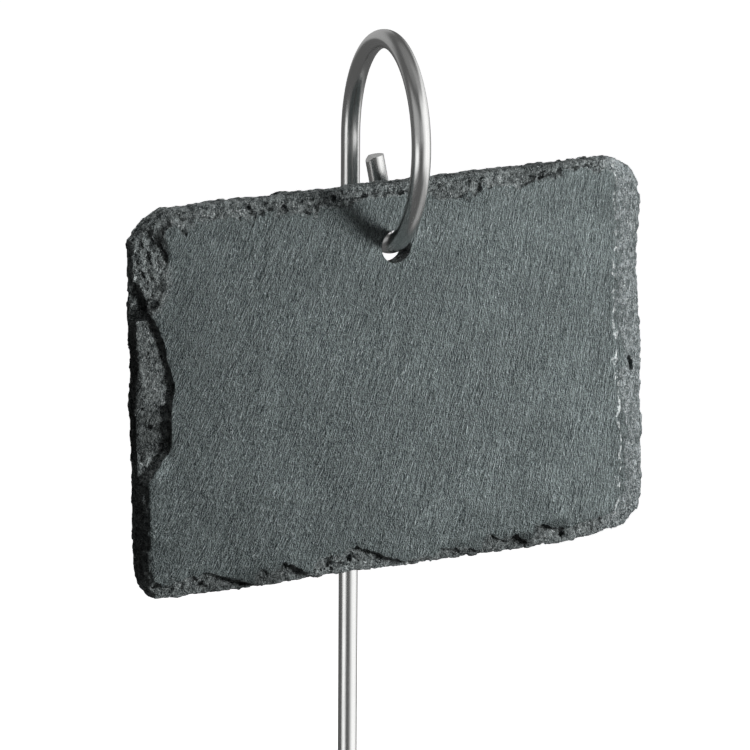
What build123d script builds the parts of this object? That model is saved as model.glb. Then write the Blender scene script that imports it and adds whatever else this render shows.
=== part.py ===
from math import asin, atan2, cos, degrees, hypot, radians, sin, sqrt, tan
import os

from build123d import *

os.makedirs("parts", exist_ok=True)

# A garden label: a slate tag that hangs on the bent ring at the top of a round steel stake.
# The origin is on the stake's axis at soil level. Z is up, and the tag's written face looks along -Y.
# All lengths are in millimetres and all angles in degrees.

# Stake
rod_diameter = 5.0
ground_depth = 150.0  # stands in the soil
ring_top_height = 350.0  # top of the ring above the soil
point_length = 18.0
point_diameter = 1.2  # blunt tip
rear_radius = 29.5  # ring, measured on the wire's centre line
crown_radius = 25.0
belly_radius = 28.3
tail_setback = 6.0  # from the ring's lowest point back to the tail
tail_root_rise = 9.0  # from the ring's lowest point up to where the tail runs straight
tail_root_shift = 1.95  # sideways from the ring's plane
tail_lean = 11.2  # the cropped tail leans back across the ring's plane
tail_length = 13.1
turn_pull = 4.2  # how far the last bend holds the ring's direction
root_pull = 5.0  # and the tail's
ring_yaw = 12.0  # turn of the ring's plane from the tag's square
shear_slope = 38.0  # slanted break on the cropped tail end
shear_reach = 0.6  # how far from the tail's axis the break starts

# Tag
tag_width = 153.2
tag_height = 101.1
tag_thickness = 7.0
tag_wedge = 0.11  # the split stone is thicker on its left
hang_tilt = 1.35
hole_play = 3.5  # hole diameter beyond the rod's
hole_from_top = 16.6
hole_off_centre = 0.25
hole_lip = 0.3  # softened front rim
breakout_width = 1.8  # stone broken away round the hole's back rim
breakout_depth = 3.4
setback = 1.2  # from the ring's lowest point to the tag's back
wire_gap = 0.3  # between the wire and the hole's rim
bevel_depth = 2.0  # depth of the dressing that shows on the front
rim_depth = 5.8  # depth of the widest outline
back_dressing = 0.8  # bevel round the back

overrun = 10.0  # cuts run this far past the stone

rod_radius = rod_diameter / 2
hole_radius = rod_radius + hole_play / 2

# Ring, in its own plane: u runs forwards from the stake's axis and v runs up.
turn_start = ring_top_height - rod_radius - rear_radius
ring_bottom_u = rear_radius + crown_radius - belly_radius
ring_bottom_v = turn_start + rear_radius - crown_radius - belly_radius
forward = Vector(-sin(radians(ring_yaw)), -cos(radians(ring_yaw)), 0)
ring_plane = Plane(origin=(0, 0, 0), x_dir=forward, z_dir=forward.cross(Vector(0, 0, 1)))

# The tail leaves the ring's plane to one side and leans back across it.
sideways = ring_plane.z_dir
bottom_point = ring_plane.from_local_coords((ring_bottom_u, ring_bottom_v))
tail_root = bottom_point - forward * tail_setback - sideways * tail_root_shift + Vector(0, 0, tail_root_rise)
tail_run = Vector(0, 0, 1) * cos(radians(tail_lean)) + sideways * sin(radians(tail_lean))

# The tag hangs on the stretch of wire that crosses its hole.
half_span = tag_thickness / 2 / cos(radians(ring_yaw))
hang_u = ring_bottom_u + setback + half_span


def wire_height(u):
    return ring_bottom_v + belly_radius - sqrt(belly_radius**2 - (u - ring_bottom_u) ** 2)


front_v = wire_height(hang_u + half_span)
back_v = wire_height(hang_u - half_span)
hinge_v = (front_v + back_v) / 2
hinge_slope = atan2(front_v - back_v, 2 * half_span)
hinge_point = ring_plane.from_local_coords((hang_u, hinge_v))

# The wire leans across the hole, so it meets the rim beside and above the hole's middle.
side_lean = tag_thickness / 2 * tan(radians(ring_yaw))
rise_lean = (front_v - back_v) / 2
free_radius = hole_radius - rod_radius / cos(hinge_slope) / cos(radians(ring_yaw)) - wire_gap
hole_drop = sqrt(free_radius**2 - side_lean**2) - rise_lean

# The tag's plane is its front face, with x to the right and y up from its middle.
half_width = tag_width / 2
half_height = tag_height / 2
tilt = radians(hang_tilt)
across = Vector(cos(tilt), 0, sin(tilt))
upwards = Vector(-sin(tilt), 0, cos(tilt))
outwards = Vector(0, -1, 0)
hole_centre = hinge_point - Vector(0, 0, hole_drop)
hole_y = half_height - hole_from_top
front_middle = hole_centre + outwards * (tag_thickness / 2) - across * hole_off_centre - upwards * hole_y
tag_plane = Plane(origin=front_middle, x_dir=across, z_dir=outwards)


def sloping_plane(x, depth, fall):
    """A plane under the tag's front face that falls away towards +x by an angle."""
    slope = radians(fall)
    normal = outwards * cos(slope) + across * sin(slope)
    along = across * cos(slope) - outwards * sin(slope)
    return Plane(origin=tag_plane.from_local_coords((x, 0, -depth)), x_dir=along, z_dir=normal)


back_plane = sloping_plane(0, tag_thickness, -tag_wedge)
rim_plane = back_plane.offset(tag_thickness - rim_depth)

# Stake: one length of round bar, pointed below and bent to an open ring above
with BuildPart() as stake:
    with BuildLine(ring_plane) as run:
        shank = Line((0, point_length - ground_depth), (0, turn_start))
        rear = JernArc(shank @ 1, shank % 1, rear_radius, -90)
        crown = JernArc(rear @ 1, rear % 1, crown_radius, -90)
        belly = JernArc(crown @ 1, crown % 1, belly_radius, -90)
        root_lead = tail_root - tail_run * root_pull
        turn_up = Bezier(belly @ 1, belly @ 1 - forward * turn_pull, root_lead, tail_root)
        tail = Line(tail_root, tail_root + tail_run * tail_length)
    with BuildSketch(Plane.XY.offset(point_length - ground_depth)):
        Circle(rod_radius)
    sweep(path=run.wire())
    with BuildSketch(Plane.XY.offset(point_length - ground_depth)):
        Circle(rod_radius)
    with BuildSketch(Plane.XY.offset(-ground_depth)):
        Circle(point_diameter / 2)
    loft()
    # The tail was cropped with shears: its end is flat with one slanted break
    break_normal = tail_run * cos(radians(shear_slope)) + sideways * sin(radians(shear_slope))
    break_plane = Plane(origin=tail @ 1 + sideways * shear_reach, x_dir=forward, z_dir=break_normal)
    with BuildSketch(break_plane):
        Rectangle(2 * rod_diameter, 2 * rod_diameter)
    extrude(amount=rod_diameter, mode=Mode.SUBTRACT)
stake.part.label = "stake"
export_step(stake.part, "parts/stake.step")

# Outline of the tag, as shares of its half width and half height. Each row holds a point of the
# widest outline and the point of the front face that its dressing starts from.
bottom_shares = [
    (-0.996, -0.830, -0.967, -0.838),
    (-0.982, -0.915, -0.958, -0.893),
    (-0.940, -0.988, -0.934, -0.923),
    (-0.860, -0.998, -0.852, -0.911),
    (-0.772, -0.994, -0.767, -0.875),
    (-0.574, -1.000, -0.572, -0.970),
    (-0.548, -0.997, -0.545, -0.913),
    (-0.482, -1.000, -0.480, -0.887),
    (-0.345, -0.995, -0.345, -0.968),
    (-0.328, -0.998, -0.323, -0.879),
    (-0.164, -0.993, -0.168, -0.852),
    (0.022, -1.000, 0.016, -0.962),
    (0.168, -0.995, 0.166, -0.935),
    (0.260, -0.998, 0.250, -0.917),
    (0.320, -0.994, 0.315, -0.966),
    (0.366, -0.999, 0.355, -0.887),
    (0.446, -0.996, 0.434, -0.907),
    (0.525, -1.000, 0.512, -0.964),
    (0.565, -0.995, 0.551, -0.871),
    (0.652, -0.998, 0.636, -0.917),
    (0.730, -0.990, 0.720, -0.891),
    (0.824, -0.976, 0.824, -0.873),
]
right_shares = [
    (0.910, -0.950, 0.870, -0.838),
    (0.974, -0.884, 0.887, -0.769),
    (0.995, -0.810, 0.890, -0.689),
    (0.992, -0.660, 0.892, -0.571),
    (1.000, -0.480, 0.887, -0.393),
    (0.991, -0.260, 0.874, -0.215),
    (1.000, 0.000, 0.895, -0.017),
    (0.988, 0.200, 0.858, 0.181),
    (0.983, 0.480, 0.861, 0.478),
    (0.999, 0.720, 0.862, 0.715),
    (0.992, 0.850, 0.866, 0.864),
]
top_shares = [
    (0.966, 0.920, 0.856, 0.933),
    (0.909, 0.986, 0.811, 0.953),
    (0.863, 1.000, 0.746, 0.960),
    (0.625, 0.994, 0.602, 0.945),
    (0.492, 1.000, 0.511, 0.905),
    (0.333, 0.996, 0.355, 0.925),
    (0.200, 1.000, 0.237, 0.889),
    (0.068, 0.995, 0.094, 0.913),
    (-0.117, 0.999, -0.103, 0.921),
    (-0.223, 0.994, -0.207, 0.897),
    (-0.356, 0.998, -0.325, 0.893),
    (-0.488, 0.993, -0.455, 0.925),
    (-0.647, 1.000, -0.663, 0.917),
    (-0.780, 0.995, -0.769, 0.945),
]
left_shares = [
    (-0.872, 0.996, -0.814, 0.913),
    (-0.942, 0.936, -0.872, 0.897),
    (-1.000, 0.850, -0.877, 0.794),
    (-0.994, 0.640, -0.883, 0.646),
    (-1.000, 0.480, -0.925, 0.507),
    (-0.993, 0.240, -0.956, 0.280),
    (-1.000, 0.000, -0.967, 0.003),
    (-0.994, -0.400, -0.969, -0.412),
]
bevel_run = 0.97  # of the way from the front face to the widest outline, at bevel depth


def outline(run, inset=0.0):
    """Points on the way from the front face's edge (0) to the widest outline (1), less an inset."""
    points = []
    for rim_x, rim_y, face_x, face_y in bottom_shares + right_shares + top_shares + left_shares:
        x = (face_x + (rim_x - face_x) * run) * (half_width - inset)
        y = (face_y + (rim_y - face_y) * run) * (half_height - inset)
        points.append((x, y))
    return points


# Flakes that have sprung off the left edge: the break's corners as shares of the half width and
# half height, then the floor's depth at the break and at the edge as shares of the thickness.
flake_shares = [
    ([(-1.100, 0.950), (-0.932, 0.899), (-0.878, 0.741), (-0.893, 0.600), (-0.925, 0.500),
      (-1.100, 0.470)], 0.10, 0.55),
    ([(-1.100, 0.656), (-0.978, 0.636), (-0.944, 0.527), (-0.950, 0.448), (-1.100, 0.428)], 0.60, 0.72),
    ([(-1.100, 0.458), (-0.948, 0.478), (-0.906, 0.339), (-0.885, 0.201), (-0.864, 0.092), (-0.880, -0.007),
      (-1.100, -0.017)], 0.19, 0.30),
    ([(-1.100, 0.003), (-0.880, 0.003), (-0.879, -0.215), (-0.925, -0.304), (-1.000, -0.432),
      (-1.100, -0.432)], 0.30, 0.45),
]

sections = [
    (back_plane, outline(1, back_dressing)),
    (rim_plane, outline(1)),
    (tag_plane.offset(-bevel_depth), outline(bevel_run)),
    (tag_plane, outline(0)),
]

# Tag: split slate with hand-dressed edges and a drilled hole
with BuildPart() as slate_tag:
    for section_plane, section_points in sections:
        with BuildSketch(section_plane):
            with BuildLine():
                Polyline(section_points, close=True)
            make_face()
    loft(ruled=True)
    for corner_shares, break_share, edge_share in flake_shares:
        break_x = max(x for x, _ in corner_shares) * half_width
        drop = (edge_share - break_share) * tag_thickness
        fall = -degrees(atan2(drop, half_width + break_x))
        with BuildSketch(sloping_plane(break_x, break_share * tag_thickness, fall)):
            with BuildLine():
                Polyline([(x * half_width - break_x, y * half_height) for x, y in corner_shares], close=True)
            make_face()
        extrude(amount=tag_thickness, mode=Mode.SUBTRACT)
    with BuildSketch(tag_plane.offset(overrun)):
        with Locations((hole_off_centre, hole_y)):
            Circle(hole_radius)
    extrude(amount=-2 * overrun - tag_thickness, mode=Mode.SUBTRACT)
    bore = slate_tag.faces().filter_by(GeomType.CYLINDER)[0]
    front_rim, _, back_rim = bore.edges().sort_by(Axis.Y)
    chamfer(front_rim, length=hole_lip)
    chamfer(back_rim, length=breakout_width, length2=breakout_depth)
slate_tag.part.label = "slate_tag"
export_step(slate_tag.part, "parts/slate_tag.step")

writing_middle = tag_plane.origin
print("written face's middle", writing_middle)
balance = slate_tag.part.center() - hinge_point
print("hinge point", hinge_point, "slope", degrees(hinge_slope), "hole drop", hole_drop)
print("tag's weight lies sideways of the hinge by", balance.X - balance.Y * tan(radians(ring_yaw)))
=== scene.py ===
from functools import reduce
from math import atan2, cos, hypot, pi, radians, sin, sqrt, tan

import bpy
import numpy as np
from mathutils import Matrix, Vector, noise


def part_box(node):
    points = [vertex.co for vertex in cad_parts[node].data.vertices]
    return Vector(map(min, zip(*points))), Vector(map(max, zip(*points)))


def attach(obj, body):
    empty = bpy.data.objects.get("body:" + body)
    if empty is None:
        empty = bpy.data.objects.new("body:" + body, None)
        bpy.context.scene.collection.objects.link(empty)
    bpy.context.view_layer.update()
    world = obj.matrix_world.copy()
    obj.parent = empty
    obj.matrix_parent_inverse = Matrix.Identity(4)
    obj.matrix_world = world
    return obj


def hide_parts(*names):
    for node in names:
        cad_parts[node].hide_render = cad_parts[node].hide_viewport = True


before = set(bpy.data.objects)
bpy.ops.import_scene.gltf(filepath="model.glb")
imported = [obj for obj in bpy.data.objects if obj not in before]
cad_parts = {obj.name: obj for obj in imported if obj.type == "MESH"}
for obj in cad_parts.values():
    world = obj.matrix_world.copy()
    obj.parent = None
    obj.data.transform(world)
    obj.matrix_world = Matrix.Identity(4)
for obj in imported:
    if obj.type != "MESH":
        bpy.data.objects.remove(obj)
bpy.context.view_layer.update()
mm = 0.001
print("frame loaded")


# small helpers

def makeActive(piece):
    bpy.ops.object.select_all(action="DESELECT")
    piece.select_set(True)
    bpy.context.view_layer.objects.active = piece


def applyModifier(piece, kind, **settings):
    makeActive(piece)
    modifier = piece.modifiers.new(kind, kind)
    for name, value in settings.items():
        setattr(modifier, name, value)
    bpy.ops.object.modifier_apply(modifier=modifier.name)


def selectFaces(piece, test):
    makeActive(piece)
    bpy.ops.object.mode_set(mode="EDIT")
    bpy.ops.mesh.select_mode(type="FACE")
    bpy.ops.mesh.select_all(action="DESELECT")
    bpy.ops.object.mode_set(mode="OBJECT")
    for face in piece.data.polygons:
        face.select = test(face)


def readPoints(piece):
    points = np.empty(len(piece.data.vertices) * 3)
    piece.data.vertices.foreach_get("co", points)
    return points.reshape(-1, 3)


def smoothStep(values, low, high):
    share = np.clip((values - low) / (high - low), 0, 1)
    return share * share * (3 - 2 * share)


def setSockets(tree, node, inputs):
    for name, value in inputs.items():
        if isinstance(value, bpy.types.NodeSocket):
            tree.links.new(value, node.inputs[name])
        else:
            node.inputs[name].default_value = value


def addNode(tree, kind, inputs=None, **settings):
    node = tree.nodes.new(kind)
    for name, value in settings.items():
        setattr(node, name, value)
    setSockets(tree, node, inputs or {})
    return node


def addMath(tree, operation, first, second):
    return addNode(tree, "ShaderNodeMath", {0: first, 1: second}, operation=operation).outputs[0]


def addProduct(tree, *factors):
    return reduce(lambda total, factor: addMath(tree, "MULTIPLY", total, factor), factors)


def addShares(tree, marks, shares):
    # the named marks added up, each by its share
    parts = [addProduct(tree, marks[name], share) for name, share in shares.items()]
    return reduce(lambda total, part: addMath(tree, "ADD", total, part), parts)


def addRange(tree, value, low, high, toLow=0.0, toHigh=1.0, smooth=True):
    return addNode(tree, "ShaderNodeMapRange",
                   {"Value": value, "From Min": low, "From Max": high, "To Min": toLow, "To Max": toHigh},
                   interpolation_type="SMOOTHSTEP" if smooth else "LINEAR").outputs[0]


def mixColours(tree, share, first, second, blend="MIX"):
    return addNode(tree, "ShaderNodeMix", {0: share, 6: first, 7: second},
                   data_type="RGBA", blend_type=blend).outputs[2]


def addNoise(tree, vector, scale, detail, roughness):
    return addNode(tree, "ShaderNodeTexNoise",
                   {"Vector": vector, "Scale": scale, "Detail": detail, "Roughness": roughness}).outputs[0]


def addTurn(tree, vector, angle, axis):
    return addNode(tree, "ShaderNodeVectorRotate", {"Vector": vector, "Center": (0, 0, 0), "Angle": angle},
                   rotation_type=axis).outputs[0]


def addBump(tree, shader, height, distance):
    bump = addNode(tree, "ShaderNodeBump", {"Height": height, "Distance": distance, "Strength": 1.0})
    setSockets(tree, shader, {"Normal": bump.outputs[0]})


def newMaterial(name):
    material = bpy.data.materials.new(name)
    material.use_nodes = True
    tree = material.node_tree
    tree.nodes.clear()
    shader = addNode(tree, "ShaderNodeBsdfPrincipled")
    addNode(tree, "ShaderNodeOutputMaterial", {"Surface": shader.outputs[0]})
    return material, tree, shader


def dress(piece, material):
    piece.data.materials.clear()
    piece.data.materials.append(material)


# camera, set from the places of the ring and of the tag's corners in the photograph

cameraPlan = {
    "target": (-10.67 * mm, -30.32 * mm, 260.67 * mm),
    "azimuth": radians(-31.5),
    "elevation": radians(10.2),
    "roll": radians(0.344),
    "distance": 2.3,
    "lens": 427.9,
    "sensor": 36,
    "clip": (0.05, 60),
}


def makeCamera(plan):
    turn, lift = plan["azimuth"], plan["elevation"]
    back = Vector((sin(turn) * cos(lift), -cos(turn) * cos(lift), sin(lift)))
    right = Vector((cos(turn), sin(turn), 0))
    up = back.cross(right)
    right, up = (right * cos(plan["roll"]) + up * sin(plan["roll"]),
                 up * cos(plan["roll"]) - right * sin(plan["roll"]))
    bpy.ops.object.camera_add()
    camera = bpy.context.object
    camera.name = "photoCamera"
    camera.matrix_world = Matrix.Translation(Vector(plan["target"]) + back * plan["distance"]) @ \
        Matrix((right, up, back)).transposed().to_4x4()
    camera.data.lens = plan["lens"]
    camera.data.sensor_width = plan["sensor"]
    camera.data.clip_start, camera.data.clip_end = plan["clip"]
    bpy.context.scene.camera = camera


makeCamera(cameraPlan)
print("camera placed")


# the stake: one length of drawn steel bar, pointed below and bent to a ring above

stakePlan = {
    "diameter": 5 * mm,
    "tipDiameter": 1.2 * mm,
    "pointLength": 18 * mm,
    "rearRadius": 29.5 * mm,
    "crownRadius": 25 * mm,
    "bellyRadius": 28.3 * mm,
    "tailSetback": 6 * mm,
    "rootRise": 9 * mm,
    "rootShift": 1.95 * mm,
    "tailLean": radians(11.2),
    "tailLength": 13.1 * mm,
    "straightPull": 20 * mm,
    "turnPull": 4.2 * mm,
    "rootPull": 5 * mm,
    "tailPull": 2 * mm,
    "yaw": radians(12),
    "shearSlope": radians(38),
    "shearReach": 0.6 * mm,
    "slack": 0.01 * mm,
    "cutShare": 0.7,
    "weld": 0.002 * mm,
    "sides": 48,
    "stepsPerRun": 40,
    "smoothAngle": radians(30),
}


def makeStake(plan):
    low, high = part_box("stake")
    radius = plan["diameter"] / 2
    forward = Vector((-sin(plan["yaw"]), -cos(plan["yaw"]), 0))
    up = Vector((0, 0, 1))
    sideways = forward.cross(up)
    shoulder = low.z + plan["pointLength"]
    turnStart = high.z - radius - plan["rearRadius"]
    crownEnd = turnStart + plan["rearRadius"] - plan["crownRadius"]
    reach = plan["rearRadius"] + plan["crownRadius"]
    bottom = forward * (reach - plan["bellyRadius"]) + up * (crownEnd - plan["bellyRadius"])
    root = bottom - forward * plan["tailSetback"] - sideways * plan["rootShift"] + up * plan["rootRise"]
    tailRun = up * cos(plan["tailLean"]) + sideways * sin(plan["tailLean"])
    tailEnd = root + tailRun * plan["tailLength"]
    quarter = 4 / 3 * tan(pi / 8)  # handle length of a quarter turn, as a share of its radius
    # places along the bar, each with the way it runs there and the pull of the bends before and after
    line = [
        (up * shoulder, up, plan["straightPull"], plan["straightPull"]),
        (up * turnStart, up, plan["straightPull"], plan["rearRadius"] * quarter),
        (forward * plan["rearRadius"] + up * (turnStart + plan["rearRadius"]), forward,
         plan["rearRadius"] * quarter, plan["crownRadius"] * quarter),
        (forward * reach + up * crownEnd, -up, plan["crownRadius"] * quarter, plan["bellyRadius"] * quarter),
        (bottom, -forward, plan["bellyRadius"] * quarter, plan["turnPull"]),
        (root, tailRun, plan["rootPull"], plan["tailPull"]),
        (tailEnd, tailRun, plan["tailPull"], plan["tailPull"]),
    ]
    bpy.ops.curve.primitive_bezier_curve_add(enter_editmode=False, location=(0, 0, 0))
    bar = bpy.context.object
    bar.name = "stakeBar"
    spline = bar.data.splines[0]
    spline.bezier_points.add(len(line) - 2)
    for point, (place, run, before, after) in zip(spline.bezier_points, line):
        point.handle_left_type = point.handle_right_type = "FREE"
        point.co = place
        point.handle_left = place - run * before
        point.handle_right = place + run * after
    bar.data.dimensions = "3D"
    bar.data.resolution_u = plan["stepsPerRun"]
    bar.data.bevel_depth = radius
    bar.data.bevel_resolution = (plan["sides"] - 4) // 2
    makeActive(bar)
    bpy.ops.object.convert(target="MESH")
    bar = bpy.context.object

    # where each point lay while the bar was straight, for the lines of the drawing
    rings = readPoints(bar).reshape(-1, plan["sides"], 3)
    middles = rings.mean(axis=1)
    along = shoulder + np.append(0, np.cumsum(np.linalg.norm(np.diff(middles, axis=0), axis=1)))
    around = np.arange(plan["sides"]) * 2 * pi / plan["sides"]
    straight = np.empty_like(rings)
    straight[:, :, 0] = np.cos(around) * radius
    straight[:, :, 1] = np.sin(around) * radius
    straight[:, :, 2] = along[:, None]
    layer = bar.data.attributes.new("straightBar", "FLOAT_VECTOR", "POINT")
    layer.data.foreach_set("vector", straight.ravel())

    # the point that goes into the soil
    selectFaces(bar, lambda face: False)
    for vertex in bar.data.vertices:
        vertex.select = vertex.co.z < shoulder + plan["slack"]
    bpy.ops.object.mode_set(mode="EDIT")
    bpy.ops.mesh.select_mode(type="VERT")
    bpy.ops.mesh.extrude_region_move(TRANSFORM_OT_translate={"value": (0, 0, -plan["pointLength"])})
    shrink = plan["tipDiameter"] / plan["diameter"]
    bpy.ops.transform.resize(value=(shrink, shrink, 1), center_override=(0, 0, low.z))
    bpy.ops.mesh.edge_face_add()
    bpy.ops.object.mode_set(mode="OBJECT")

    # the tail's flat end and the slanted break of the shears
    slope = plan["shearSlope"]
    cutReach = plan["tailLength"] * plan["cutShare"]
    cuts = ((tailEnd - tailRun * plan["slack"], tailRun),
            (tailEnd + sideways * plan["shearReach"], tailRun * cos(slope) + sideways * sin(slope)))
    for place, normal in cuts:
        selectFaces(bar, lambda face: (face.center - tailEnd).length < cutReach)
        bpy.ops.object.mode_set(mode="EDIT")
        bpy.ops.mesh.bisect(plane_co=place, plane_no=normal, use_fill=True, clear_outer=True)
        bpy.ops.object.mode_set(mode="OBJECT")
    makeActive(bar)
    bpy.ops.object.mode_set(mode="EDIT")
    bpy.ops.mesh.select_all(action="SELECT")
    bpy.ops.mesh.remove_doubles(threshold=plan["weld"])
    bpy.ops.mesh.normals_make_consistent(inside=False)
    bpy.ops.object.mode_set(mode="OBJECT")
    bpy.ops.object.shade_smooth_by_angle(angle=plan["smoothAngle"])
    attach(bar, "stake")
    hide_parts("stake")
    return bar


stakeBar = makeStake(stakePlan)
print("stake bent")


# the tag: split slate, its edges dressed with a hammer

tagPlan = {
    # the middle of the written face, where the part's source hangs it
    "origin": (-5.89081 * mm, -33.8012 * mm, 260.381 * mm),
    "tilt": radians(1.35),
    "wedge": tan(radians(0.11)),
    "weld": 0.005 * mm,
    "voxel": 0.42 * mm,
    "triangles": 180000,
    "smoothAngle": radians(40),

    # cutters: a flake's is a block of this height in mm with torn walls, and a chip's is a lens whose middle
    # lies above the face by this share of its half height
    "scarHeight": 6,
    "scarCuts": 14,
    "tearing": 1.1 * mm,
    "tearSize": 2.2 * mm,
    "lensShare": 0.62,
    "lensRounds": 4,

    # from here on in mm; round the hole the breakage fades in between two distances from its middle
    "thickness": 7,
    "halfHeight": 50.5,
    "hole": (0.25, 33.95),
    "holeClear": (5.4, 7.0),
    # depths under the nearer face between which each kind of surface fades in or out
    "dressedDepth": (0.12, 0.6),
    "splitDepth": (0.1, 0.5),
    "brokenDepth": (0.2, 0.7),
    # how deep below the written face the margins and the worn step reach
    "frontDepth": 1.5,
    # where the left corner's step has worn away: middle x and y, half width and half height
    "worn": (-68.8, 30, 6.0, 7.6),
    "wornEdge": (0.68, 1.05),
    "wornShare": 0.8,
    "wornRounds": 160,
    # how the torn margins wander, and how soft their inner edge is
    "wander": 2.4,
    "wanderSize": 3.2,
    "wanderSpan": 9.5,
    "wanderDepth": 1,
    "wanderDetail": (0.7, 2.0, 3),
    "marginEdge": (-1.3, 0.1),
    "weightLevels": 16,
    # how softly a place of painted shade or light ends, in shares of its half width and half height
    "paintedShadeEdge": (0.5, 1.3),
    # how far the dressing reaches down from the top edge and up from the bottom edge: x and reach
    "topDressing": [(-74, 3), (-68, 4.5), (-63, 6.0), (-57, 5.6), (-50, 4.6), (-44, 5.2), (-38, 4.8),
                    (-33, 6.0), (-28, 5.4), (-24, 6.2), (-20, 3.8), (-16, 5.6), (-11, 3.6), (-4, 2.8),
                    (5, 3.0), (10, 4.0), (14, 6.2), (19, 6.6), (24, 5.8), (28, 4.0), (33, 5.8), (39, 5.4),
                    (44, 4.2), (50, 3.0), (58, 2.6), (64, 3.2), (70, 4.0)],
    "bottomDressing": [(-74, 4.5), (-66, 5.6), (-60, 4.6), (-56, 1.5), (-44, 0.8), (-36, 1.6), (-27, 2.5),
                       (-24, 5.4), (-14, 6.4), (-10, 2.4), (0, 1.0), (10, 0.6), (16, 2.4), (24, 1.6),
                       (30, 3.2), (38, 3.6), (46, 2.6), (50, 2.0), (56, 4.6), (64, 6.0), (74, 7.4)],
}

# Flakes sprung off the edges, in mm on the written face: both ends of the line where each starts, with the
# stone on the left of it, the depth at both ends, how far the flake ran and its floor's rise in degrees
scars = [
    # bottom edge, from the left
    (-58.9, -44.1, -42.0, -50.0, 1.2, 3.0, 9, 4),
    (-41.9, -45.2, -34.6, -49.9, 0.9, 1.9, 8, 6),
    (-34.9, -44.6, -25.0, -50.0, 1.6, 3.2, 8, 4),
    (-13.2, -42.8, -4.4, -47.0, 1.9, 2.0, 9, 6),
    (-5.0, -46.7, 5.5, -50.2, 2.0, 2.2, 6, 4),
    (12.6, -46.4, 23.4, -50.2, 1.8, 2.4, 7, 6),
    (27.0, -44.4, 35.6, -49.0, 1.0, 2.4, 8, 8),
    (35.6, -45.8, 40.2, -49.4, 2.9, 3.1, 3.4, 24),
    (42.0, -43.2, 51.8, -46.6, 2.2, 3.6, 4.2, 30),
    (51.0, -46.4, 74.6, -42.4, 1.3, 1.2, 10, 3),
    # top edge, from the right
    (52.0, 48.6, 37.0, 46.6, 1.3, 0.9, 6, 8),
    (30.0, 46.4, 12.0, 45.0, 0.9, 0.7, 8, 5),
    (-37.0, 46.6, -55.0, 47.0, 0.7, 0.6, 8, 5),
    # beside the left corner's step
    (-70.9, 46.2, -67.0, 38.2, 2.0, 1.5, 2.4, 32),
]

# Shallow chips, in mm on the written face: middle x and y, half length, half width, depth, turn in degrees
chips = [
    # top edge, from the left
    (-62.6, 48.9, 2.2, 2.0, 1.5, -20),
    (-67, 47.6, 5.0, 2.6, 0.8, 14),
    (-54.6, 50.4, 4.6, 3.4, 0.9, 8),
    (-54.5, 46.0, 1.1, 0.9, 0.7, 30),
    (-47, 49.6, 3.6, 2.8, 0.8, -10),
    (-41, 50.6, 3.6, 3.2, 1.2, 6),
    (-33.4, 48.6, 1.9, 2.6, 1.5, 10),
    (-26.2, 48.4, 2.6, 3.4, 1.4, 24),
    (-20.5, 50.8, 3.2, 2.6, 0.9, -8),
    (-16.4, 48.2, 2.6, 3.0, 1.6, -14),
    (-8, 50.6, 4.8, 3.4, 0.8, -6),
    (3, 50.8, 5.4, 3.2, 0.8, 4),
    (14.2, 47.8, 1.9, 2.2, 1.6, 35),
    (20.0, 49.6, 2.8, 2.4, 1.4, 24),
    (19.4, 46.0, 1.5, 1.2, 0.8, 0),
    (25.4, 46.4, 3.6, 0.9, 0.7, 52),
    (30, 50.6, 4.0, 3.0, 1.1, 20),
    (34.6, 49.0, 1.8, 1.4, 1.2, 10),
    (39.0, 46.9, 2.9, 1.1, 1.3, 12),
    (44.2, 49.4, 4.4, 1.2, 1.6, 16),
    (51, 50.8, 4.2, 1.6, 1.5, 4),
    (61, 50.2, 5.0, 1.1, 1.3, -4),
    (61.6, 47.6, 1.6, 1.1, 0.7, 20),
    (66.5, 51.2, 4.2, 2.4, 1.4, -16),
    # left, above the sprung flakes
    (-76.6, 38, 3.4, 8, 1.0, -8),
    (-74.5, 46, 6, 3.4, 1.2, 40),
    (-71.5, 31, 3.2, 5, 0.7, -14),
    (-76.6, 45, 2.4, 3, 1.2, 30),
    # right rim, with its slit
    (72.0, -4.6, 3.4, 0.72, 5.4, -70),
    (74.9, 41, 3.6, 7, 1.0, 10),
    (75.5, 20, 2.6, 8, 1.4, 0),
    (74.7, 6.5, 4.0, 5.0, 1.2, 24),
    (76.1, -14, 3.0, 7, 1.3, -4),
    (75.5, -29, 3.0, 6, 1.3, 6),
    (74.1, -41, 3.0, 4.4, 1.4, -30),
]

# Painted shade and painted light on the tag, with some of the stone's own tone, in mm on the written face:
# middle x and y, half width, half height, gain
paintedShadeAndLight = [
    # darker: the left pocket floors, the step's crack, crevices in the top band, the down-facing bottom band
    # and the left wall; lighter: the top-left plateau and the shaded diagonal wall
    (-73.0, -8.0, 5.0, 7.0, 0.55),
    (-74.0, 37.0, 6.0, 10.0, 1.30),
    (-69.6, 44.2, 1.2, 1.8, 0.35),
    (-68.6, 41.6, 1.2, 2.0, 0.25),
    (-67.6, 39.2, 0.9, 1.6, 0.45),
    (-25.0, 48.2, 14.0, 3.2, 0.80),
    (18.0, 48.0, 8.0, 3.4, 0.78),
    (44.0, 49.0, 9.0, 2.4, 0.66),
    (-52.0, 48.0, 10.0, 3.0, 1.08),
    (-18.8, -47.2, 7.0, 3.6, 1.30),
    (-44.0, -48.5, 16.0, 3.0, 0.62),
    (30.0, -48.0, 20.0, 3.0, 0.72),
    (-76.8, 3.0, 1.8, 19.0, 0.40),
    (-71.5, -15.5, 4.2, 3.6, 1.80),
    (-73.5, 9.0, 4.0, 8.0, 0.90),
    (38.2, -47.8, 3.0, 2.2, 0.55),
    (46.8, -45.0, 5.6, 1.8, 0.55),
    (63.0, -45.0, 12.0, 3.0, 0.9),
    (-77.0, -32.0, 3.0, 20.0, 0.62),
]


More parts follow.
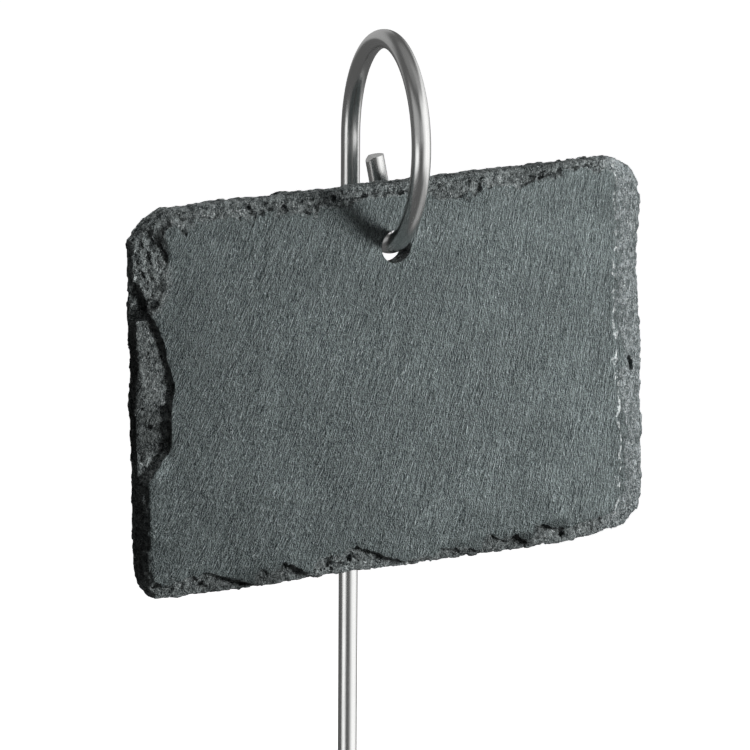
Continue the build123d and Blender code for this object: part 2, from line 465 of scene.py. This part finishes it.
def tagPlace(plan):
    # a matrix from the tag's own x, y and height above its written face to the frame
    across = Vector((cos(plan["tilt"]), 0, sin(plan["tilt"])))
    upwards = Vector((-sin(plan["tilt"]), 0, cos(plan["tilt"])))
    return Matrix.Translation(Vector(plan["origin"])) @ \
        Matrix((across, upwards, Vector((0, -1, 0)))).transposed().to_4x4()


def makeClouds(name, size, detail, basis="BLENDER_ORIGINAL"):
    texture = bpy.data.textures.new(name, "CLOUDS")
    texture.noise_scale = size
    texture.noise_depth = detail
    texture.noise_basis = basis
    return texture


def makeScarCutter(plan, x0, y0, x1, y1, depth0, depth1, reach, rise):
    length = hypot(x1 - x0, y1 - y0)
    middle = ((x0 + x1) / 2 * mm, (y0 + y1) / 2 * mm, 0)
    middleHeight = plan["scarHeight"] / 2 - (depth0 + depth1) / 2
    bpy.ops.mesh.primitive_cube_add(size=1)
    cutter = bpy.context.object
    cutter.matrix_world = tagPlace(plan) @ Matrix.Translation(middle) @ \
        Matrix.Rotation(atan2(y1 - y0, x1 - x0), 4, "Z") @ \
        Matrix.Rotation(atan2(depth1 - depth0, length), 4, "Y") @ \
        Matrix.Rotation(-radians(rise), 4, "X") @ \
        Matrix.Translation((0, -reach / 2 * mm, middleHeight * mm)) @ \
        Matrix.Diagonal((length * mm, reach * mm, plan["scarHeight"] * mm, 1))
    bpy.ops.object.transform_apply(location=True, rotation=True, scale=True)
    bpy.ops.object.mode_set(mode="EDIT")
    bpy.ops.mesh.subdivide(number_cuts=plan["scarCuts"])
    bpy.ops.object.mode_set(mode="OBJECT")
    applyModifier(cutter, "DISPLACE", texture=makeClouds("tearing", plan["tearSize"], 2),
                  strength=plan["tearing"], mid_level=0.5, texture_coords="GLOBAL")
    return cutter


def makeChipCutter(plan, x, y, length, width, depth, turn):
    # a lens that meets the face along an oval of this length and width
    raised = plan["lensShare"]
    spread = sqrt(1 - raised * raised)
    tall = depth / (1 - raised)
    bpy.ops.mesh.primitive_ico_sphere_add(subdivisions=plan["lensRounds"], radius=1)
    cutter = bpy.context.object
    cutter.matrix_world = tagPlace(plan) @ Matrix.Translation((x * mm, y * mm, tall * raised * mm)) @ \
        Matrix.Rotation(radians(turn), 4, "Z") @ \
        Matrix.Diagonal((length / spread * mm, width / spread * mm, tall * mm, 1))
    bpy.ops.object.transform_apply(location=True, rotation=True, scale=True)
    return cutter


def makeTag(plan):
    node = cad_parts["slate_tag"]
    tag = node.copy()
    tag.data = node.data.copy()
    tag.name = "slateTag"
    bpy.context.collection.objects.link(tag)
    tag.parent = None
    makeActive(tag)
    bpy.ops.object.mode_set(mode="EDIT")
    bpy.ops.mesh.select_all(action="SELECT")
    bpy.ops.mesh.remove_doubles(threshold=plan["weld"])
    bpy.ops.object.mode_set(mode="OBJECT")
    cutters = [makeScarCutter(plan, *scar) for scar in scars]
    cutters += [makeChipCutter(plan, *chip) for chip in chips]
    for cutter in cutters:
        applyModifier(tag, "BOOLEAN", operation="DIFFERENCE", solver="EXACT", object=cutter)
        bpy.data.objects.remove(cutter)
    print("chips cut", len(tag.data.polygons))
    applyModifier(tag, "REMESH", mode="VOXEL", voxel_size=plan["voxel"])
    print("remeshed", len(tag.data.polygons))
    return tag


slateTag = makeTag(tagPlan)


def tagPoints(tag, plan):
    # every point's x, y and height above the written face, and how deep it lies under the nearer face
    place = tagPlace(plan).inverted()
    x, y, height = (readPoints(tag) @ np.array(place.to_3x3()).T + np.array(place.translation)).T / mm
    thick = plan["thickness"] - plan["wedge"] * x
    return x, y, height, np.minimum(-height, thick + height)


def paintGroups(tag, plan):
    # weights for the dressed edges, the split faces, the torn margins and the worn step
    x, y, height, fromFace = tagPoints(tag, plan)
    holeX, holeY = plan["hole"]
    wornX, wornY, wornWidth, wornHeight = plan["worn"]
    front = height > -plan["frontDepth"]
    clear = smoothStep(np.hypot(x - holeX, y - holeY), *plan["holeClear"])
    fromWorn = np.hypot((x - wornX) / wornWidth, (y - wornY) / wornHeight)
    worn = (1 - smoothStep(fromWorn, *plan["wornEdge"])) * front
    margin = np.zeros(len(x))
    for side, row in ((1, "topDressing"), (-1, "bottomDressing")):
        inward = plan["halfHeight"] - side * y
        reach = np.interp(x, *zip(*plan[row]))
        for index in np.nonzero((inward < plan["wanderSpan"]) & (height > -plan["wanderDepth"]))[0]:
            spot = (x[index] / plan["wanderSize"], y[index] / plan["wanderSize"], side)
            reach[index] += plan["wander"] * noise.fractal(spot, *plan["wanderDetail"])
        margin = np.maximum(margin, (1 - smoothStep(inward - reach, *plan["marginEdge"])) * front)
    groups = {
        "dressed": smoothStep(fromFace, *plan["dressedDepth"]) * clear * (1 - plan["wornShare"] * worn),
        "split": 1 - smoothStep(fromFace, *plan["splitDepth"]),
        "margin": margin,
        "worn": worn,
    }
    levels = plan["weightLevels"]
    for name, weights in groups.items():
        group = tag.vertex_groups.new(name=name)
        for level in range(1, levels + 1):
            chosen = np.nonzero(np.round(weights * levels) == level)[0]
            group.add(chosen.tolist(), level / levels, "REPLACE")


# Textures that push the stone in and out, in this order; sizes in mm, turns on the face
splinterLook = {"detail": 0, "stretch": (1.5, 1.2, 0.6), "turn": radians(23), "basis": "CELL_NOISE"}
reliefs = [
    {"name": "cleft", "group": "split", "strength": 0.6 * mm, "size": 16, "detail": 3},
    {"name": "bedding", "group": "split", "strength": 0.28 * mm, "size": 1.8, "detail": 2,
     "stretch": (1, 5, 1), "turn": radians(-24)},
    {"name": "flaking", "group": "margin", "strength": 1.5 * mm, "size": 2.4, "detail": 3, "level": 0.95},
    {"name": "breakage", "group": "dressed", "strength": 0.85 * mm, "size": 3.2, "detail": 3},
    {"name": "splinters", "group": "dressed", "strength": 0.40 * mm, "size": 1.9, **splinterLook},
    {"name": "slivers", "group": "dressed", "strength": 0.34 * mm, "size": 0.95, **splinterLook},
]


def displace(piece, plan, name, group, strength, stretch=(1, 1, 1), turn=0.0, level=0.5, **look):
    # the texture is laid out by an empty, which may be turned and stretched on the tag
    bpy.ops.object.empty_add()
    layout = bpy.context.object
    layout.matrix_world = tagPlace(plan) @ Matrix.Rotation(turn, 4, "Z") @ \
        Matrix.Diagonal((stretch[0] * mm, stretch[1] * mm, stretch[2] * mm, 1))
    bpy.context.view_layer.update()
    applyModifier(piece, "DISPLACE", texture=makeClouds(name, **look), vertex_group=group,
                  strength=strength, mid_level=level, texture_coords="OBJECT", texture_coords_object=layout)
    bpy.data.objects.remove(layout)


def makeTextured(tag, plan):
    paintGroups(tag, plan)
    applyModifier(tag, "SMOOTH", factor=1.0, iterations=plan["wornRounds"], vertex_group="worn")
    for relief in reliefs:
        displace(tag, plan, **relief)
    applyModifier(tag, "DECIMATE", ratio=plan["triangles"] / (2 * len(tag.data.polygons)))
    makeActive(tag)
    bpy.ops.object.shade_smooth_by_angle(angle=plan["smoothAngle"])
    print("tag finished", len(tag.data.polygons))


makeTextured(slateTag, tagPlan)
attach(slateTag, "slate_tag")
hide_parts("slate_tag")


# finishes

linePlan = {
    "roughness": 0.55,
    "range": (0.3, 0.7),
}


def makeLines(plan):
    # fine lines in a surface, longer one way than the other; lengths in mm
    group = bpy.data.node_groups.new("fineLines", "ShaderNodeTree")
    group.interface.new_socket("Place", in_out="INPUT", socket_type="NodeSocketVector")
    for name in ("Width", "Length", "Detail"):
        group.interface.new_socket(name, in_out="INPUT", socket_type="NodeSocketFloat")
    group.interface.new_socket("Lines", in_out="OUTPUT", socket_type="NodeSocketFloat")
    entry = addNode(group, "NodeGroupInput")
    parts = addNode(group, "ShaderNodeSeparateXYZ", {0: entry.outputs["Place"]})
    squeezed = addNode(group, "ShaderNodeCombineXYZ", {
        index: addMath(group, "DIVIDE", parts.outputs[index], entry.outputs[side])
        for index, side in enumerate(("Width", "Width", "Length"))})
    lines = addNoise(group, squeezed.outputs[0], 1.0, entry.outputs["Detail"], plan["roughness"])
    addNode(group, "NodeGroupOutput", {0: addRange(group, lines, *plan["range"], smooth=False)})
    return group


fineLines = makeLines(linePlan)


def addLines(tree, place, width, length, detail):
    inputs = {"Place": place, "Width": width, "Length": length, "Detail": detail}
    return addNode(tree, "ShaderNodeGroup", inputs, node_tree=fineLines).outputs["Lines"]


steelPlan = {
    "colour": (0.60, 0.602, 0.595, 1),
    "dull": (0.50, 0.502, 0.495, 1),
    "roughness": (0.20, 0.28),
    "roughRange": (0.4, 1.1),
    # lines left by drawing the bar: width and length in mm, detail
    "lines": (0.10, 14.0, 2.0),
    "lineShare": 0.35,
    "roughLineShare": 0.5,
    # clouds and small marks: scale per mm, detail, roughness
    "cloud": (0.12, 3.0, 0.5),
    "marks": (0.9, 4.0, 0.65),
    "markRange": (0.56, 0.72),
    "markShare": 0.25,
    "relief": 0.004 * mm,
}


def makeSteel(plan):
    material, tree, shader = newMaterial("drawnSteel")
    straight = addNode(tree, "ShaderNodeAttribute", attribute_name="straightBar").outputs["Vector"]
    place = addNode(tree, "ShaderNodeVectorMath", {0: straight, "Scale": 1 / mm},
                    operation="SCALE").outputs[0]
    lines = addLines(tree, place, *plan["lines"])
    cloud = addNoise(tree, place, *plan["cloud"])
    marks = addRange(tree, addNoise(tree, place, *plan["marks"]), *plan["markRange"])
    colour = mixColours(tree, addProduct(tree, lines, plan["lineShare"]), plan["colour"], plan["dull"])
    colour = mixColours(tree, addProduct(tree, marks, plan["markShare"]), colour, plan["dull"])
    rough = addMath(tree, "ADD", addProduct(tree, lines, plan["roughLineShare"]), cloud)
    rough = addRange(tree, rough, *plan["roughRange"], *plan["roughness"], smooth=False)
    setSockets(tree, shader, {"Base Color": colour, "Roughness": rough, "Metallic": 1})
    addBump(tree, shader, lines, plan["relief"])
    return material


dress(stakeBar, makeSteel(steelPlan))


slatePlan = {
    "shade": (0.040, 0.049, 0.050, 1),
    "light": (0.176, 0.204, 0.204, 1),
    "fleck": (0.34, 0.375, 0.375, 1),
    "brokenShade": (0.034, 0.040, 0.041, 1),
    "brokenLight": (0.260, 0.286, 0.284, 1),
    "rightShade": (0.120, 0.138, 0.139, 1),
    "rightPale": (0.290, 0.318, 0.322, 1),
    # the colour of the painted glints and of the painted highlight along the right edge
    "paintedHighlight": (0.50, 0.53, 0.53, 1),
    "roughness": (0.65, 0.88),
    "specular": 0.1,
    "relief": 2.7 * mm,

    # the grain's turn in degrees at the left and at the right end of this stretch, in mm
    "grainSpan": (-75, 75),
    "grainTurn": (58, 80),
    # lines along the grain: width and length in mm, detail
    "lines": {
        "grain": (0.34, 1.1, 2.0),
        "coarse": (0.9, 4.2, 2.0),
        "streaks": (0.7, 5.0, 3.0),
        "soft": (2.4, 15.0, 3.0),
    },
    # clouds in the stone: scale per mm, detail, roughness
    "clouds": {
        "specks": (2.8, 2.0, 0.6),
        "patches": (0.05, 3.0, 0.55),
        "mottle": (0.3, 3.0, 0.5),
        "swell": (0.045, 2.0, 0.5),
        "crumbs": (0.75, 5.0, 0.65),
        "grit": (2.7, 3.0, 0.6),
        "glints": (1.25, 1.0, 0.5),
        "wander": (0.2, 4.0, 0.5),
        "breaks": (0.45, 4.0, 0.6),
    },
    # marks of which only the brightest parts show, and from where to where they come up
    "scattered": {"streaks": (0.74, 0.90), "glints": (0.64, 0.70), "breaks": (0.47, 0.55)},

    # each mark's share in a tone or in the relief
    "faceTone": {"grain": 0.26, "coarse": 0.10, "specks": 0.44, "patches": 0.14, "soft": 0.06},
    "fleckTone": {"specks": 0.6, "grain": 0.4},
    "brokenTone": {"crumbs": 0.6, "grit": 0.4},
    "faceRelief": {"grain": 0.55, "specks": 0.85, "coarse": 0.5, "soft": 0.55, "streaks": 0.25},
    "brokenRelief": {"crumbs": 1.4, "grit": 0.6},
    "mottleShare": 0.9,
    "fleckShare": 0.7,
    "streakShare": 0.22,
    "glintShare": 0.6,
    "arrisShare": 0.8,

    # ranges of a tone or place, some with what they turn into
    "faceRange": (0.32, 0.68),
    "fleckRange": (0.66, 0.76),
    "brokenRange": (0.37, 0.64),
    "rightRange": (0.2, 0.75),
    "rightSide": (62, 69),
    "roughRange": (0.3, 0.7),
    "swellRange": (0.38, 0.6, 0.7, 1.2),
    "arrisWander": (0.3, 0.7, -1, 1),
    "arrisStep": (-4, -2, 1.6, 0),
    "arrisStart": (65.9, 66.4),
    "arrisEnd": (67.2, 66.7),
    "arrisDepth": (1.5, 2.5, 1, 0),
}


def makeSlate(plan, tag):
    material, tree, shader = newMaterial("splitSlate")
    middle = Vector(tag["origin"])
    coords = addNode(tree, "ShaderNodeTexCoord").outputs["Object"]
    centred = addNode(tree, "ShaderNodeMapping", {"Vector": coords, "Location": -middle / mm,
                                                  "Scale": (1 / mm,) * 3}).outputs[0]
    across, inwards, upwards = addNode(tree, "ShaderNodeSeparateXYZ", {0: centred}).outputs
    dressed = addNode(tree, "ShaderNodeAttribute", attribute_name="dressing").outputs["Fac"]
    # the painted shade and light, kept in the "tone" attribute
    paintedGain = addNode(tree, "ShaderNodeAttribute", attribute_name="tone").outputs["Fac"]

    # the split leaves a grain that climbs to the right, and more steeply at the right
    turn = addRange(tree, across, *plan["grainSpan"], *(radians(value - 90) for value in plan["grainTurn"]),
                    smooth=False)
    turned = addTurn(tree, centred, turn, "Y_AXIS")
    marks = {name: addNoise(tree, centred, *values) for name, values in plan["clouds"].items()}
    for name, values in plan["lines"].items():
        marks[name] = addLines(tree, turned, *values)
    for name, (low, high) in plan["scattered"].items():
        marks[name] = addRange(tree, marks[name], low, high)

    # the split face, with its flecks and streaks
    tone = addRange(tree, addShares(tree, marks, plan["faceTone"]), *plan["faceRange"], smooth=False)
    face = mixColours(tree, tone, plan["shade"], plan["light"])
    flecks = addRange(tree, addShares(tree, marks, plan["fleckTone"]), *plan["fleckRange"])
    pale = addMath(tree, "MAXIMUM", addProduct(tree, flecks, plan["fleckShare"]),
                   addProduct(tree, marks["streaks"], plan["streakShare"]))
    face = mixColours(tree, pale, face, plan["fleck"])

    # the broken stone of the dressed edges, lighter at the right
    tone = addRange(tree, addShares(tree, marks, plan["brokenTone"]), *plan["brokenRange"])
    broken = mixColours(tree, tone, plan["brokenShade"], plan["brokenLight"])
    rightPale = mixColours(tree, addRange(tree, tone, *plan["rightRange"]), plan["rightShade"], plan["rightPale"])
    broken = mixColours(tree, addRange(tree, across, *plan["rightSide"]), broken, rightPale)
    # painted glints: pale sparkles painted into the broken stone's colour
    broken = mixColours(tree, addProduct(tree, marks["glints"], plan["glintShare"]), broken, plan["paintedHighlight"])
    colour = mixColours(tree, dressed, face, broken)

    # a broken painted highlight along the line where the right bevel starts
    wander = addRange(tree, marks["wander"], *plan["arrisWander"])
    step = addRange(tree, upwards, *plan["arrisStep"])
    start = addMath(tree, "SUBTRACT", addMath(tree, "SUBTRACT", across, wander), step)
    arrisHighlight = addProduct(tree, addRange(tree, start, *plan["arrisStart"]),
                       addRange(tree, start, *plan["arrisEnd"]), marks["breaks"],
                       addRange(tree, inwards, *plan["arrisDepth"]), plan["arrisShare"])
    colour = mixColours(tree, arrisHighlight, colour, plan["paintedHighlight"])
    # painted shade and light: the colour darkened or lightened by the tone attribute
    colour = mixColours(tree, 1.0, colour, paintedGain, "MULTIPLY")
    rough = addRange(tree, marks["specks"], *plan["roughRange"], *plan["roughness"], smooth=False)
    setSockets(tree, shader, {"Base Color": colour, "Roughness": rough,
                              "Specular IOR Level": plan["specular"]})

    swell = addRange(tree, marks["swell"], *plan["swellRange"])
    height = addProduct(tree, addShares(tree, marks, plan["faceRelief"]), swell)
    height = addMath(tree, "ADD", height, addProduct(tree, marks["mottle"], plan["mottleShare"]))
    broken = addProduct(tree, addShares(tree, marks, plan["brokenRelief"]), dressed)
    addBump(tree, shader, addMath(tree, "ADD", height, broken), plan["relief"])
    return material


def storeStone(tag, plan):
    # how broken the stone is, and its painted shade and light, at every point of the tag
    x, y, _, fromFace = tagPoints(tag, plan)
    paintedGains = np.ones(len(x))
    for middleX, middleY, halfWidth, halfHeight, paintedGain in paintedShadeAndLight:
        away = np.hypot((x - middleX) / halfWidth, (y - middleY) / halfHeight)
        paintedGains *= 1 + (paintedGain - 1) * (1 - smoothStep(away, *plan["paintedShadeEdge"]))
    # the "tone" attribute holds the painted shade and light
    for name, values in (("dressing", smoothStep(fromFace, *plan["brokenDepth"])), ("tone", paintedGains)):
        layer = tag.data.attributes.new(name, "FLOAT", "POINT")
        layer.data.foreach_set("value", values)


storeStone(slateTag, tagPlan)
dress(slateTag, makeSlate(slatePlan, tagPlan))
print("finishes made")


# studio

studioPlan = {
    "floorLevel": -150.5 * mm,
    "floorRadius": 14.0,
    "floorSides": 96,
    "floorColour": (0.82, 0.82, 0.82, 1),
    "floorBounce": (0.35, 0.35, 0.35, 1),
    "floorRoughness": 0.9,
    "floorSpecular": 0.1,
    "floorGlow": (0.42, 1.0),
    "shadowRadius": (0.35, 0.9),
    "ambient": 0.038,
}

# Lamps aimed at the tag: turn and lift as seen from it, distance and size in m, power in W
lamps = {
    "keyLight": {"turn": radians(40), "lift": radians(5), "distance": 0.28, "size": 0.105, "power": 2.36},
    "backFill": {"turn": radians(165), "lift": radians(35), "distance": 1.2, "size": 0.9, "power": 30.0},
    "topFill": {"turn": radians(10), "lift": radians(75), "distance": 0.5, "size": 0.4, "power": 1.8},
}

# Pale panels that the bar mirrors. Turns go from the camera towards the picture's right, in degrees, and
# heights are the sine of the ray's lift. At each edge the light fades between the pair's two places.
panels = {
    "room": {"bright": 0.15, "left": (-200, -190), "right": (190, 200),
             "low": (-2, -1.9), "high": (1.9, 2)},
    "leftPanel": {"bright": 1.85, "left": (-84, -58), "right": (-40, -12),
                  "low": (-0.52, -0.26), "high": (-0.15, 0.0)},
    "leftWall": {"bright": 0.58, "left": (-92, -66), "right": (-30, 20),
                 "low": (-0.20, 0.04), "high": (0.42, 0.72)},
    "frontWall": {"bright": 0.58, "left": (-30, 14), "right": (40, 80),
                  "low": (-0.16, 0.04), "high": (0.30, 0.55)},
    "rightPanel": {"bright": 1.68, "left": (4, 62), "right": (96, 158),
                   "low": (-0.66, -0.28), "high": (0.46, 0.76)},
    "frontPanel": {"bright": 1.06, "left": (12, 34), "right": (56, 90),
                   "low": (-0.05, 0.10), "high": (0.66, 0.86)},
    "backPanel": {"bright": 1.16, "left": (90, 118), "right": (138, 180),
                  "low": (-0.14, 0.06), "high": (0.34, 0.60)},
    "backLight": {"bright": 0.50, "left": (-240, -200), "right": (-132, -104),
                  "low": (-0.20, -0.02), "high": (0.34, 0.70)},
    "tableEdge": {"bright": 0.52, "left": (36, 64), "right": (96, 150),
                  "low": (-1.4, -1.2), "high": (-0.50, -0.40)},
    "ceiling": {"bright": 0.30, "left": (-200, -190), "right": (190, 200),
                "low": (0.66, 0.90), "high": (1.9, 2)},
    "ceilingPanel": {"bright": 0.46, "left": (10, 50), "right": (90, 150),
                     "low": (0.60, 0.76), "high": (1.9, 2)},
}


def makeWorld(plan, view):
    world = bpy.data.worlds.new("studio")
    bpy.context.scene.world = world
    world.use_nodes = True
    tree = world.node_tree
    tree.nodes.clear()
    coords = addNode(tree, "ShaderNodeTexCoord").outputs["Generated"]
    turned = addTurn(tree, coords, -view["azimuth"], "Z_AXIS")
    across, forwards, upwards = addNode(tree, "ShaderNodeSeparateXYZ", {0: turned}).outputs
    turn = addMath(tree, "ARCTAN2", across, addProduct(tree, forwards, -1.0))
    mirrored = 0.0
    for panel in panels.values():
        left, right = (tuple(map(radians, panel[side])) for side in ("left", "right"))
        light = addProduct(tree, addRange(tree, turn, *left),
                           addRange(tree, turn, *right, panel["bright"], 0),
                           addRange(tree, upwards, *panel["low"]),
                           addRange(tree, upwards, *panel["high"], 1, 0))
        mirrored = addMath(tree, "MAXIMUM", mirrored, light)
    ray = addNode(tree, "ShaderNodeLightPath")
    ambient = (plan["ambient"],) * 3 + (1,)
    seen = mixColours(tree, ray.outputs["Is Glossy Ray"], ambient, mirrored)
    seen = mixColours(tree, ray.outputs["Is Camera Ray"], seen, (1, 1, 1, 1))
    background = addNode(tree, "ShaderNodeBackground", {"Color": seen, "Strength": 1.0})
    addNode(tree, "ShaderNodeOutputWorld", {"Surface": background.outputs[0]})


def makeLamp(name, centre, turn, lift, distance, size, power):
    towards = Vector((sin(turn) * cos(lift), -cos(turn) * cos(lift), sin(lift)))
    bpy.ops.object.light_add(type="AREA", location=Vector(centre) + towards * distance)
    lamp = bpy.context.object
    lamp.name = name
    lamp.rotation_euler = towards.to_track_quat("Z", "Y").to_euler()
    lamp.data.shape = "DISK"
    lamp.data.size = size
    lamp.data.energy = power
    lamp.visible_camera = False
    lamp.visible_glossy = False


def makeFloor(plan):
    bpy.ops.mesh.primitive_circle_add(vertices=plan["floorSides"], radius=plan["floorRadius"],
                                      fill_type="NGON", location=(0, 0, plan["floorLevel"]))
    floor = bpy.context.object
    floor.name = "floor"
    bpy.ops.object.transform_apply(location=True)
    material, tree, shader = newMaterial("palePaper")
    coords = addNode(tree, "ShaderNodeTexCoord").outputs["Object"]
    distance = addNode(tree, "ShaderNodeVectorMath", {0: coords}, operation="LENGTH").outputs["Value"]
    away = addRange(tree, distance, *plan["shadowRadius"])
    ray = addNode(tree, "ShaderNodeLightPath").outputs["Is Camera Ray"]
    glow = addProduct(tree, ray, addRange(tree, away, 0, 1, *plan["floorGlow"], smooth=False))
    setSockets(tree, shader, {
        "Base Color": mixColours(tree, ray, plan["floorBounce"], plan["floorColour"]),
        "Roughness": plan["floorRoughness"],
        "Specular IOR Level": plan["floorSpecular"],
        "Emission Color": (1, 1, 1, 1),
        "Emission Strength": glow,
    })
    dress(floor, material)
    floor.visible_glossy = False


makeWorld(studioPlan, cameraPlan)
makeFloor(studioPlan)
for name, lamp in lamps.items():
    makeLamp(name, tagPlan["origin"], **lamp)
bpy.context.scene.view_settings.view_transform = "Standard"

bpy.context.view_layer.update()
